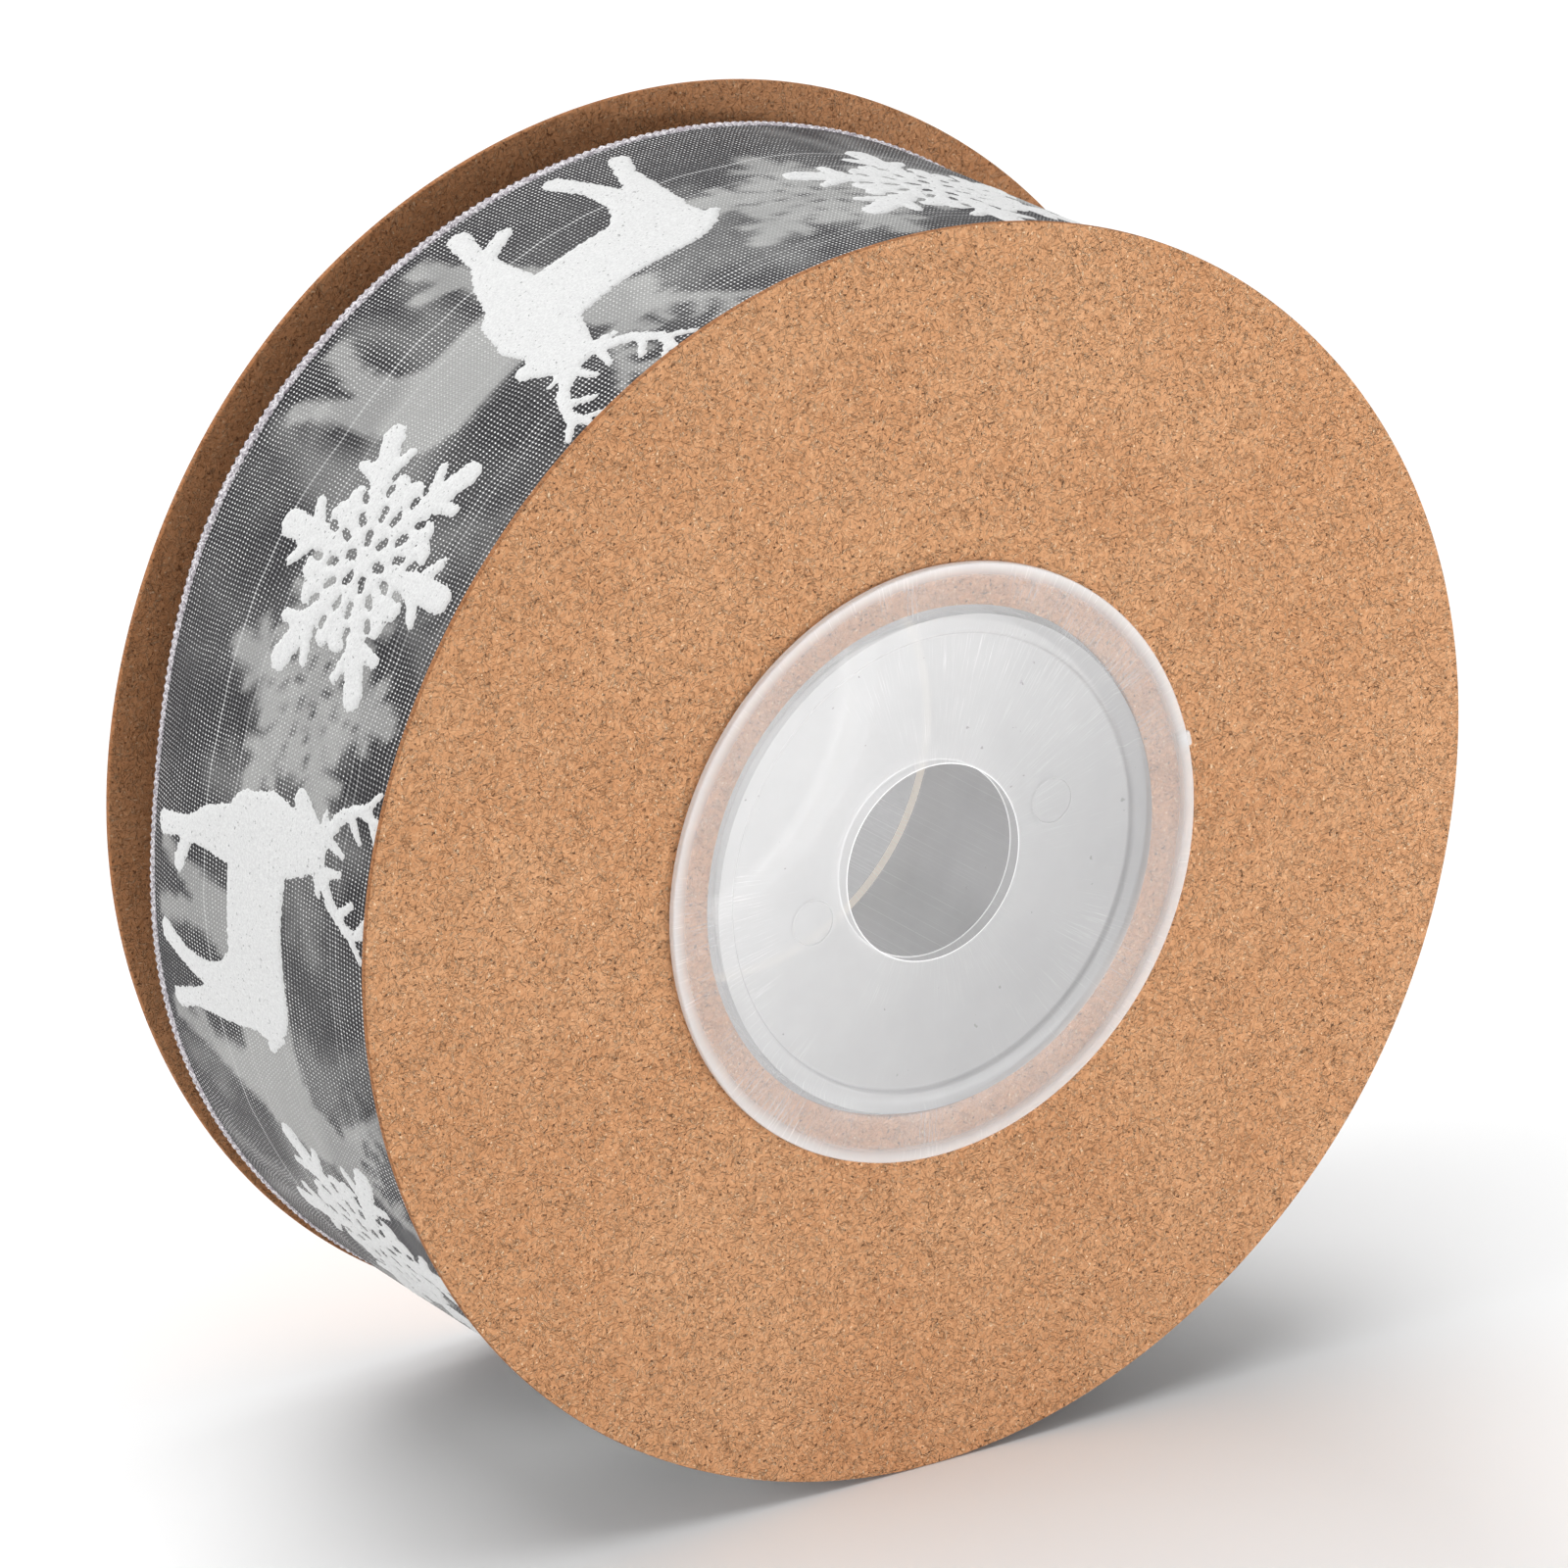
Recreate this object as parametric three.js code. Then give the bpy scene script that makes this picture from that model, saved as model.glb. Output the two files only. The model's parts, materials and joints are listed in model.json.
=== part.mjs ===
// Ribbon spool: two die-cut kraft board discs held on a two-part clear hub, wound with sheer ribbon.
// Millimetres, +Z up. The spool stands on the rims of its discs, with its axle line along Y and the
// front disc towards -Y. The origin is on the floor, under the middle of the spool.
import * as THREE from 'three';

// Driving dimensions
const DISC_RADIUS = 35;          // front disc, and the height of the axle line
const SPOOL_WIDTH = 28.8;        // outer face to outer face of the two discs
const BOARD = 0.4;               // thickness of the kraft board
const RIBBON_WIDTH = 24.95;
const RIBBON_LAYER = 0.35;       // one wrap of ribbon
const RIBBON_RADIUS = 34.3;      // outside of the last wrap
const RIBBON_SETBACK = 0.5;      // from the front disc to the ribbon's edge
const HUB_RADIUS = 13.9;         // outside of the barrel that the ribbon is wound on
const LIP_RADIUS = 16.65;        // the lip that keeps each disc on the hub
const BORE_RADIUS = 5.45;        // hole for a dispenser rod

// Hub walls
const BARREL_WALL = 0.6;
const LIP_THICKNESS = 0.45;
const LIP_GAP = 0.1;             // running room between a lip and its disc
const WEB_RECESS = 0.5;          // web face below the lip face
const WEB_THICKNESS = 0.8;
const SPIGOT_LENGTH = 9.5;       // the back hub's sleeve, plugged inside the barrel
const SPIGOT_WALL = 0.6;
const GAP = 0.3;                 // room between pieces that touch

// The back disc is cut a little larger and sits loose on the spigot, slipped to one side. Its own
// centre is raised by what its radius is larger, so that both rims reach the same floor.
const BACK_DISC_RADIUS = 35.35;
const BACK_DISC_SHIFT = 1.26;
const BACK_DISC_RISE = BACK_DISC_RADIUS - DISC_RADIUS;
const FRONT_DISC_BORE = HUB_RADIUS + GAP;
const BACK_DISC_BORE = 14.6;

// Tapes
const TAPE = 0.15;
const END_TAPE_WIDTH = 12;
const END_TAPE_SPAN = 44;        // degrees round the winding
const RIBBON_END_ANGLE = -38;    // where the loose end of the ribbon is, degrees from +X
const CORE_TAPE_WIDTH = 19;
const CORE_TAPE_SPAN = 50;
const CORE_TAPE_ANGLE = 150;

// Facets of a full circle. A facet, and not a corner, is at the bottom of each disc.
const DISC_FACETS = 96;
const HUB_FACETS = 48;

// Stations along the axle line
const FACE = SPOOL_WIDTH / 2;
const INNER_FACE = FACE - BOARD;
const RIBBON_FRONT = -INNER_FACE + RIBBON_SETBACK;
const RIBBON_BACK = RIBBON_FRONT + RIBBON_WIDTH;
const BARREL_END = INNER_FACE - GAP;
const SPIGOT_RADIUS = HUB_RADIUS - BARREL_WALL - GAP;
const RIBBON_BORE = HUB_RADIUS + 2 * GAP;

const kraft = { color: 0xd2a073, roughness: 0.9, metalness: 0 };
const clearPlastic = { color: 0xe6e4e2, roughness: 0.35, metalness: 0, transparent: true, opacity: 0.6 };
const sheerRibbon = { color: 0x8d8d8f, roughness: 0.6, metalness: 0 };
const clearTape = { color: 0xe8e6da, roughness: 0.25, metalness: 0, transparent: true, opacity: 0.5 };

function namedMesh(name, geometry, finish) {
  const mesh = new THREE.Mesh(geometry, new THREE.MeshStandardMaterial({ name, ...finish }));
  mesh.name = name;
  return mesh;
}

// A ring turned round the Y axis from a closed section of [radius, y] points. The radii are those of
// the flats, so the corners of the facets stand a little further out.
function turned(section, facets) {
  const corner = 1 / Math.cos(Math.PI / facets);
  const points = section.map(([radius, y]) => new THREE.Vector2(radius * corner, y));
  points.push(points[0].clone());
  return new THREE.LatheGeometry(points, facets, Math.PI / facets);
}

// A flat disc with a round hole
function boardDisc(radius, bore, innerFace, outerFace) {
  const low = Math.min(innerFace, outerFace);
  const high = Math.max(innerFace, outerFace);
  return turned([[bore, low], [radius, low], [radius, high], [bore, high]], DISC_FACETS);
}

// An outline in the X-Z plane carried along Y from one station to another
function extrudedAlongY(outline, from, to) {
  const geometry = new THREE.ExtrudeGeometry(outline, { depth: to - from, bevelEnabled: false });
  geometry.rotateX(Math.PI / 2);
  geometry.translate(0, to, 0);
  return geometry;
}

// Points on an arc about the axle line, with the radius worked out from the angle in degrees
function arcPoints(startAngle, endAngle, steps, radiusAt) {
  return Array.from({ length: steps + 1 }, (_, i) => {
    const degrees = startAngle + (endAngle - startAngle) * i / steps;
    const angle = THREE.MathUtils.degToRad(degrees);
    const radius = radiusAt(degrees);
    return new THREE.Vector2(radius * Math.cos(angle), radius * Math.sin(angle));
  });
}

// The winding is one long spiral, so its outline drops by one layer where the ribbon ends.
function windingOutline() {
  const start = RIBBON_END_ANGLE;
  const radiusAt = (degrees) => RIBBON_RADIUS - RIBBON_LAYER * (degrees - start) / 360;
  const outline = new THREE.Shape(arcPoints(start, start + 360, DISC_FACETS, radiusAt));
  const bore = arcPoints(0, 360 - 360 / DISC_FACETS, DISC_FACETS - 1, () => RIBBON_BORE);
  outline.holes.push(new THREE.Path(bore));
  return outline;
}

// A strip of tape bent to a radius
function tapeOutline(middleAngle, span, innerRadius, thickness) {
  const steps = 12;
  const from = middleAngle - span / 2;
  const to = middleAngle + span / 2;
  const outside = arcPoints(from, to, steps, () => innerRadius + thickness);
  const inside = arcPoints(to, from, steps, () => innerRadius);
  return new THREE.Shape([...outside, ...inside]);
}

// The front hub: lip, web with the rod hole, and the barrel that reaches back to the other disc
function frontHub() {
  const lipFace = -FACE - LIP_GAP - LIP_THICKNESS;
  const webFace = lipFace + WEB_RECESS;
  const webBack = webFace + WEB_THICKNESS;
  const inside = HUB_RADIUS - BARREL_WALL;
  return turned([
    [BORE_RADIUS, webFace],
    [inside - WEB_RECESS, webFace],
    [inside, lipFace],
    [LIP_RADIUS, lipFace],
    [LIP_RADIUS, lipFace + LIP_THICKNESS],
    [HUB_RADIUS, lipFace + LIP_THICKNESS],
    [HUB_RADIUS, BARREL_END],
    [inside, BARREL_END],
    [inside, webBack],
    [BORE_RADIUS, webBack],
  ], HUB_FACETS);
}

// The back hub: the same lip and web, with a shorter sleeve that plugs inside the barrel
function backHub() {
  const lipFace = FACE + LIP_GAP + LIP_THICKNESS;
  const webFace = lipFace - WEB_RECESS;
  const webBack = webFace - WEB_THICKNESS;
  const inside = SPIGOT_RADIUS - SPIGOT_WALL;
  const sleeveEnd = FACE - SPIGOT_LENGTH;
  return turned([
    [BORE_RADIUS, webBack],
    [inside, webBack],
    [inside, sleeveEnd],
    [SPIGOT_RADIUS, sleeveEnd],
    [SPIGOT_RADIUS, lipFace - LIP_THICKNESS],
    [LIP_RADIUS, lipFace - LIP_THICKNESS],
    [LIP_RADIUS, lipFace],
    [inside, lipFace],
    [inside - WEB_RECESS, webFace],
    [BORE_RADIUS, webFace],
  ], HUB_FACETS);
}

// The pieces are built round the front disc's axle line, then stood on the floor with the origin
// half-way between the two discs' centres.
const spool = new THREE.Group();
spool.name = 'ribbon_spool';
spool.position.set(-BACK_DISC_SHIFT / 2, 0, DISC_RADIUS);

const frontDisc = boardDisc(DISC_RADIUS, FRONT_DISC_BORE, -INNER_FACE, -FACE);
spool.add(namedMesh('front_disc', frontDisc, kraft));

const backDisc = boardDisc(BACK_DISC_RADIUS, BACK_DISC_BORE, INNER_FACE, FACE);
const backDiscMesh = namedMesh('back_disc', backDisc, kraft);
backDiscMesh.position.set(BACK_DISC_SHIFT, 0, BACK_DISC_RISE);
spool.add(backDiscMesh);

spool.add(namedMesh('front_hub', frontHub(), clearPlastic));
spool.add(namedMesh('back_hub', backHub(), clearPlastic));

spool.add(namedMesh('ribbon', extrudedAlongY(windingOutline(), RIBBON_FRONT, RIBBON_BACK), sheerRibbon));

const ribbonMiddle = (RIBBON_FRONT + RIBBON_BACK) / 2;

const endTape = tapeOutline(RIBBON_END_ANGLE, END_TAPE_SPAN, RIBBON_RADIUS + GAP, TAPE);
const endTapeFrom = ribbonMiddle - END_TAPE_WIDTH / 2;
spool.add(namedMesh('end_tape', extrudedAlongY(endTape, endTapeFrom, endTapeFrom + END_TAPE_WIDTH), clearTape));

const coreTape = tapeOutline(CORE_TAPE_ANGLE, CORE_TAPE_SPAN, HUB_RADIUS + GAP - TAPE / 2, TAPE);
const coreTapeFrom = ribbonMiddle - CORE_TAPE_WIDTH / 2;
spool.add(namedMesh('core_tape', extrudedAlongY(coreTape, coreTapeFrom, coreTapeFrom + CORE_TAPE_WIDTH), clearTape));

export default spool;
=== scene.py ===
# %% [markdown]
# # A spool of printed organza ribbon
# The spool has few pieces: two kraft board discs, a clear plastic hub in two halves, about nine
# metres of sheer ribbon with a raised white print, and a strip of clear tape at each of its ends.
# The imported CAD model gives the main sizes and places. This lesson gives each piece its surface.

import json
import math

import bmesh
import bpy
import numpy as np
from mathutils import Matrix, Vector


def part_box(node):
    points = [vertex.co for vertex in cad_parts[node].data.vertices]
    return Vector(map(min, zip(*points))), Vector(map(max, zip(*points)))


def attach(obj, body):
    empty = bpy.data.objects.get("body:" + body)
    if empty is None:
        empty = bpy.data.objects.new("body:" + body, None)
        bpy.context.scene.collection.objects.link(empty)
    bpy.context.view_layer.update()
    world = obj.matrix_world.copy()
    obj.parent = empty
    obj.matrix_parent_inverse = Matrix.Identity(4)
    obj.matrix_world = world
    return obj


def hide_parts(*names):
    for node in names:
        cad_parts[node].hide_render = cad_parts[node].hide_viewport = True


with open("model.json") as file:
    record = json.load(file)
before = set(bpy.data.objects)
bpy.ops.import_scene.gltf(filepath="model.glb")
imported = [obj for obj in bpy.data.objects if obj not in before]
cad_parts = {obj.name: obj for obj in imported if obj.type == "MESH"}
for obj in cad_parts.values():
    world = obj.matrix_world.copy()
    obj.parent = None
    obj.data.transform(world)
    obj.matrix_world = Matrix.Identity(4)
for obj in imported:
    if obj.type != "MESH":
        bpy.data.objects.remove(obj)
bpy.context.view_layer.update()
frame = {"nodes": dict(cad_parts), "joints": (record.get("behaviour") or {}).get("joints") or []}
MM = 0.001

# %% [markdown]
# Both discs and the winding turn about lines that run along Y. The joints give those lines, and the
# boxes of the CAD nodes give the radii and the stations along Y. What they can't give, such as wall
# thicknesses and the print, is typed beside the piece that it belongs to.

# %% Read the sizes from the frame
pins = {joint["child"]: Vector(joint["pos_m"]) for joint in frame["joints"]}
FRONT_CENTRE = pins["front_disc"]
BACK_CENTRE = pins["back_disc"]
AXLE_X, AXLE_Z = FRONT_CENTRE.x, FRONT_CENTRE.z


def outer_radius(node, centre):
    low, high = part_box(node)
    return max(high.x - centre.x, centre.x - low.x)


def inner_radius(node, centre):
    points = [v.co for v in frame["nodes"][node].data.vertices]
    return min(math.hypot(p.x - centre.x, p.z - centre.z) for p in points)


DISC_RADIUS = FRONT_CENTRE.z
BACK_DISC_RADIUS = BACK_CENTRE.z
FRONT_BORE = inner_radius("front_disc", FRONT_CENTRE)
BACK_BORE = inner_radius("back_disc", BACK_CENTRE)
LIP_RADIUS = outer_radius("front_hub", FRONT_CENTRE)
ROD_RADIUS = inner_radius("front_hub", FRONT_CENTRE)
RIBBON_RADIUS = outer_radius("ribbon", FRONT_CENTRE)
RIBBON_BORE = inner_radius("ribbon", FRONT_CENTRE)
ribbon_low, ribbon_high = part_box("ribbon")
print("ribbon radius, mm:", round(RIBBON_RADIUS / MM, 2), "bore", round(RIBBON_BORE / MM, 2))

# %% [markdown]
# ## The camera
# The camera looks down on the spool from its front left. A long lens from half a metre keeps the
# discs nearly as wide as each other. It aims at the front disc's centre line, in the middle of the
# spool.

# %% Place the camera
CAMERA_AZIMUTH = math.radians(-33.18)
CAMERA_ELEVATION = math.radians(20.14)
CAMERA_DISTANCE = 479.8 * MM
CAMERA_LENS = 203.1

camera_data = bpy.data.cameras.new("camera")
camera_data.lens = CAMERA_LENS
camera_data.sensor_width = 36
camera_data.clip_start = 0.01
camera = bpy.data.objects.new("camera", camera_data)
bpy.context.scene.collection.objects.link(camera)
towards_camera = Vector((
    math.sin(CAMERA_AZIMUTH) * math.cos(CAMERA_ELEVATION),
    -math.cos(CAMERA_AZIMUTH) * math.cos(CAMERA_ELEVATION),
    math.sin(CAMERA_ELEVATION),
))
aim = Vector((AXLE_X, 0, AXLE_Z))
camera.location = aim + towards_camera * CAMERA_DISTANCE
camera.rotation_mode = "QUATERNION"
camera.rotation_quaternion = (-towards_camera).to_track_quat("-Z", "Y")
bpy.context.scene.camera = camera

# %% [markdown]
# ## Small helpers
# Every operator acts on what is selected, so each piece starts from an empty selection. A finished
# piece has its place in its mesh and rides on a body.

# %% Helpers for pieces
def clear_selection():
    if bpy.context.mode != "OBJECT":
        bpy.ops.object.mode_set(mode="OBJECT")
    bpy.ops.object.select_all(action="DESELECT")


def make_active(piece):
    clear_selection()
    piece.select_set(True)
    bpy.context.view_layer.objects.active = piece


def apply_modifier(piece, kind, **settings):
    make_active(piece)
    modifier = piece.modifiers.new(kind.lower(), kind)
    for name, value in settings.items():
        setattr(modifier, name, value)
    bpy.ops.object.modifier_apply(modifier=modifier.name)


def finish_piece(piece, name, body, slot, *materials, smooth_angle=35):
    make_active(piece)
    bpy.ops.object.transform_apply(location=True, rotation=True, scale=True)
    bpy.ops.object.shade_smooth_by_angle(angle=math.radians(smooth_angle))
    piece.name = name
    piece.data.name = name
    piece.data.materials.clear()
    for material in materials:
        piece.data.materials.append(material)
    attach(piece, body)
    print(name, len(piece.data.polygons), "faces")
    return piece


# %% [markdown]
# ## Turned shapes
# A disc, a hub and a winding are all round. By hand they are made ring by ring: add a circle, extrude
# its edge, scale the new ring about the axle and slide it along the axle, and bridge the last ring
# to the first. One function does that for any closed section.

# %% Make a turned shape ring by ring
def turn_section(centre, section, steps):
    """section is a closed list of (radius, y), in metres, round the line through centre along Y."""
    clear_selection()
    first_radius, first_y = section[0]
    bpy.ops.mesh.primitive_circle_add(
        vertices=steps, radius=first_radius, fill_type="NOTHING",
        location=(centre.x, first_y, centre.z), rotation=(math.pi / 2, 0, 0),
    )
    piece = bpy.context.object
    bpy.ops.object.transform_apply(location=True, rotation=True, scale=True)
    bpy.ops.object.mode_set(mode="EDIT")
    bpy.ops.mesh.select_all(action="SELECT")
    for (radius, y), (next_radius, next_y) in zip(section, section[1:]):
        bpy.ops.mesh.extrude_edges_move()
        scale = next_radius / radius
        bpy.ops.transform.resize(value=(scale, 1, scale), center_override=(centre.x, y, centre.z))
        bpy.ops.transform.translate(value=(0, next_y - y, 0))
    mesh = bmesh.from_edit_mesh(piece.data)
    for edge in mesh.edges:
        edge.select = edge.is_boundary
    bmesh.update_edit_mesh(piece.data)
    bpy.ops.mesh.bridge_edge_loops()
    bpy.ops.mesh.select_all(action="SELECT")
    bpy.ops.mesh.normals_make_consistent(inside=False)
    bpy.ops.object.mode_set(mode="OBJECT")
    return piece


# %% [markdown]
# ## Shader helpers
# A material is a small tree of nodes. These helpers add a node, set its inputs and link it, so that
# the recipes below read as a list of steps.

# %% Shader helpers
class Recipe:
    """A new material with its shader, and short ways to add nodes to it."""

    def __init__(self, name):
        self.material = bpy.data.materials.new(name)
        self.material.use_nodes = True
        self.tree = self.material.node_tree
        self.shader = self.tree.nodes["Principled BSDF"]

    def node(self, kind, inputs=None, **settings):
        made = self.tree.nodes.new("ShaderNode" + kind)
        for name, value in settings.items():
            setattr(made, name, value)
        for name, value in (inputs or {}).items():
            self.put(made.inputs[name], value)
        return made

    def put(self, socket, value):
        if isinstance(value, bpy.types.NodeSocket):
            self.tree.links.new(value, socket)
        else:
            socket.default_value = value

    def math(self, operation, *values, clamp=False):
        made = self.node("Math", operation=operation, use_clamp=clamp)
        for socket, value in zip(made.inputs, values):
            self.put(socket, value)
        return made.outputs[0]

    def blend(self, factor, low, high):
        made = self.node("Mix", data_type="RGBA")
        self.put(made.inputs[0], factor)
        for socket, colour in ((made.inputs[6], low), (made.inputs[7], high)):
            self.put(socket, (*colour, 1) if isinstance(colour, tuple) else colour)
        return made.outputs[2]

    def steps(self, value, low, high, smooth=True):
        """0 below low, 1 above high."""
        made = self.node("MapRange", interpolation_type="SMOOTHSTEP" if smooth else "LINEAR")
        for name, number in (("Value", value), ("From Min", low), ("From Max", high)):
            self.put(made.inputs[name], number)
        return made.outputs[0]

    def noise(self, vector, scale, detail=2, roughness=0.5, distortion=0.0):
        return self.node("TexNoise", {
            "Vector": vector, "Scale": scale, "Detail": detail,
            "Roughness": roughness, "Distortion": distortion,
        }).outputs["Fac"]

    def mapped(self, vector, location=(0, 0, 0), rotation=(0, 0, 0), scale=(1, 1, 1)):
        return self.node("Mapping", {
            "Vector": vector, "Location": location, "Rotation": rotation, "Scale": scale,
        }).outputs[0]

    def millimetres(self):
        place = self.node("TexCoord").outputs["Object"]
        return self.mapped(place, scale=(1 / MM, 1 / MM, 1 / MM))

    def bump(self, height, distance, strength=1.0):
        return self.node("Bump", {"Height": height, "Distance": distance, "Strength": strength}).outputs[0]

    def shade(self, **sockets):
        for name, value in sockets.items():
            name = name.replace("_", " ")
            if isinstance(value, tuple) and len(value) == 3:
                value = (*value, 1)
            self.put(self.shader.inputs[name], value)
        return self.material


# %% [markdown]
# ## Kraft board
# Kraft board is unbleached pulp. Close up it is a tangle of fibres: most a little lighter or darker
# than the board, a few nearly black or straw-coloured. Noise stretched along one direction gives
# streaks. Several layers of them, each turned to its own angle and cut off high, give loose fibres
# in every direction, and small round noise gives the pits and specks. The cut rim is given a darker
# colour. The inner faces are painted darker and redder than the outer ones, as painted shade.

# %% Kraft board material
KRAFT = (0.61, 0.297, 0.14)
KRAFT_DARK = (0.33, 0.15, 0.062)
KRAFT_DARKENED = (0.29, 0.095, 0.025)
KRAFT_PALE = (0.78, 0.45, 0.245)
FIBRE_BLACK = (0.09, 0.04, 0.018)
FIBRE_STRAW = (0.93, 0.70, 0.46)


def fibres(recipe, place, angle, seed, length, width, low, high):
    """Short streaks in the board's plane, at an angle to X."""
    turned = recipe.mapped(place, rotation=(0, angle, 0))
    drawn = recipe.mapped(turned, location=(seed, seed * 1.7, -seed), scale=(1 / length, 1, 1 / width))
    return recipe.steps(recipe.noise(drawn, 1.0, detail=1, distortion=0.5), low, high)


def kraft_board(name, darkening=0.0):
    """The last argument darkens and reddens the board: the cut edge, and the inner faces as painted shade.
    """
    recipe = Recipe(name)
    place = recipe.millimetres()
    cloud = recipe.noise(place, 0.11, detail=4, roughness=0.6)
    mottle = recipe.noise(place, 0.9, detail=3, roughness=0.6)
    grain = recipe.noise(place, 4.2, detail=3, roughness=0.75)
    colour = recipe.blend(recipe.steps(cloud, 0.35, 0.7), KRAFT, recipe.blend(0.28, KRAFT, KRAFT_PALE))
    for value, low, high, share, tint in (
        (mottle, 0.52, 0.25, 0.22, KRAFT_DARK), (mottle, 0.5, 0.75, 0.2, KRAFT_PALE),
        (grain, 0.5, 0.26, 0.62, KRAFT_DARK), (grain, 0.5, 0.72, 0.8, KRAFT_PALE),
    ):
        colour = recipe.blend(recipe.math("MULTIPLY", recipe.steps(value, low, high), share), colour, tint)
    relief = recipe.math("MULTIPLY", grain, 0.8)
    for turn in range(5):
        angle = math.radians(turn * 36 + 9)
        dark = fibres(recipe, place, angle, 11.3 * turn + 3, 0.62, 0.085, 0.655, 0.73)
        colour = recipe.blend(recipe.math("MULTIPLY", dark, 0.4), colour, KRAFT_DARK)
        pale = fibres(recipe, place, angle + 0.4, 7.9 * turn + 61, 0.55, 0.08, 0.66, 0.74)
        colour = recipe.blend(recipe.math("MULTIPLY", pale, 0.38), colour, FIBRE_STRAW)
        relief = recipe.math("ADD", relief, recipe.math("SUBTRACT", pale, dark))
    for turn in range(2):
        angle = math.radians(80 * turn + 20)
        hair = fibres(recipe, place, angle, 5.1 * turn + 131, 1.5, 0.09, 0.745, 0.79)
        colour = recipe.blend(recipe.math("MULTIPLY", hair, 0.4), colour, FIBRE_BLACK)
    elsewhere = recipe.mapped(place, location=(40, 9, 3))
    specks = recipe.steps(recipe.noise(elsewhere, 4.6, detail=1), 0.69, 0.73)
    colour = recipe.blend(recipe.math("MULTIPLY", specks, 0.75), colour, FIBRE_STRAW)
    pits = recipe.steps(recipe.noise(place, 4.6, detail=1), 0.68, 0.73)
    colour = recipe.blend(recipe.math("MULTIPLY", pits, 0.75), colour, FIBRE_BLACK)
    relief = recipe.math("SUBTRACT", relief, pits)
    # Darker and redder: the cut edge, and the inner faces as painted shade.
    if darkening:
        colour = recipe.blend(darkening, colour, KRAFT_DARKENED)
    return recipe.shade(
        Base_Color=colour, Roughness=0.9, Specular_IOR_Level=0.22,
        Normal=recipe.bump(relief, 0.06 * MM, 1.0),
    )


kraft_material = kraft_board("kraft board")
kraft_edge_material = kraft_board("kraft board cut edge", darkening=0.6)
# The inner faces carry painted shade: darker and redder than the outer faces.
kraft_shaded_inside_material = kraft_board("kraft board, inner face", darkening=0.35)

# %% [markdown]
# The discs are stamped out of sheet, so their rims aren't quite true: they wander by less than a
# tenth of a millimetre, and the stamping rounds the edge a little.

# %% Model the two board discs
DISC_STEPS = 288
EDGE_ROUND = 0.09 * MM
RIM_WANDER = 0.06 * MM


def board_disc(name, centre, radius, bore, phase):
    low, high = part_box(name)
    section = [(bore, low.y), (bore * 1.35, low.y), (radius * 0.72, low.y), (radius, low.y),
               (radius, high.y), (radius * 0.72, high.y), (bore * 1.35, high.y), (bore, high.y)]
    disc = turn_section(centre, section, DISC_STEPS)
    for vertex in disc.data.vertices:
        arm = vertex.co - centre
        arm.y = 0
        if arm.length > radius * 0.9:
            angle = math.atan2(arm.z, arm.x)
            wander = math.sin(3 * angle + phase) + 0.6 * math.sin(7 * angle - phase) - 1.6
            vertex.co += arm.normalized() * wander * RIM_WANDER
    apply_modifier(disc, "BEVEL", width=EDGE_ROUND, segments=2, limit_method="ANGLE")
    cut_faces = [abs(face.normal.y) < 0.5 for face in disc.data.polygons]
    facing_in = [face.normal.y * centre.y < -0.5 * abs(centre.y) for face in disc.data.polygons]
    finish_piece(disc, "board_" + name, name, "kraft_board",
                 kraft_material, kraft_edge_material, kraft_shaded_inside_material)
    for face, cut, inner in zip(disc.data.polygons, cut_faces, facing_in):
        face.material_index = 1 if cut else 2 if inner else 0
    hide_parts(name)


board_disc("front_disc", FRONT_CENTRE, DISC_RADIUS, FRONT_BORE, 0.5)
board_disc("back_disc", BACK_CENTRE, BACK_DISC_RADIUS, BACK_BORE, 2.0)

# %% [markdown]
# ## The clear hub
# The hub is natural polypropylene: neither clear nor white. What lies behind it shows, with a milky
# veil over it. Each wall has two faces, so each face hides a part of what is behind and the wall
# hides more. Fine scratches run round the lip and outwards from the bore. The bore, the barrel and
# the sleeve's end glow with painted light, for light carried inside a translucent moulding's walls.
# The lip's edge and the bore are made whiter as painted light, and the web is painted greyer
# towards its lower right as painted shade.

# %% Natural plastic material
LIP_GLOW_START = LIP_RADIUS - 1.0 * MM
NATURAL = (0.88, 0.88, 0.885)
DUST = (0.20, 0.18, 0.17)
PAINTED_SHADE_GREY = (0.40, 0.40, 0.405)


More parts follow.
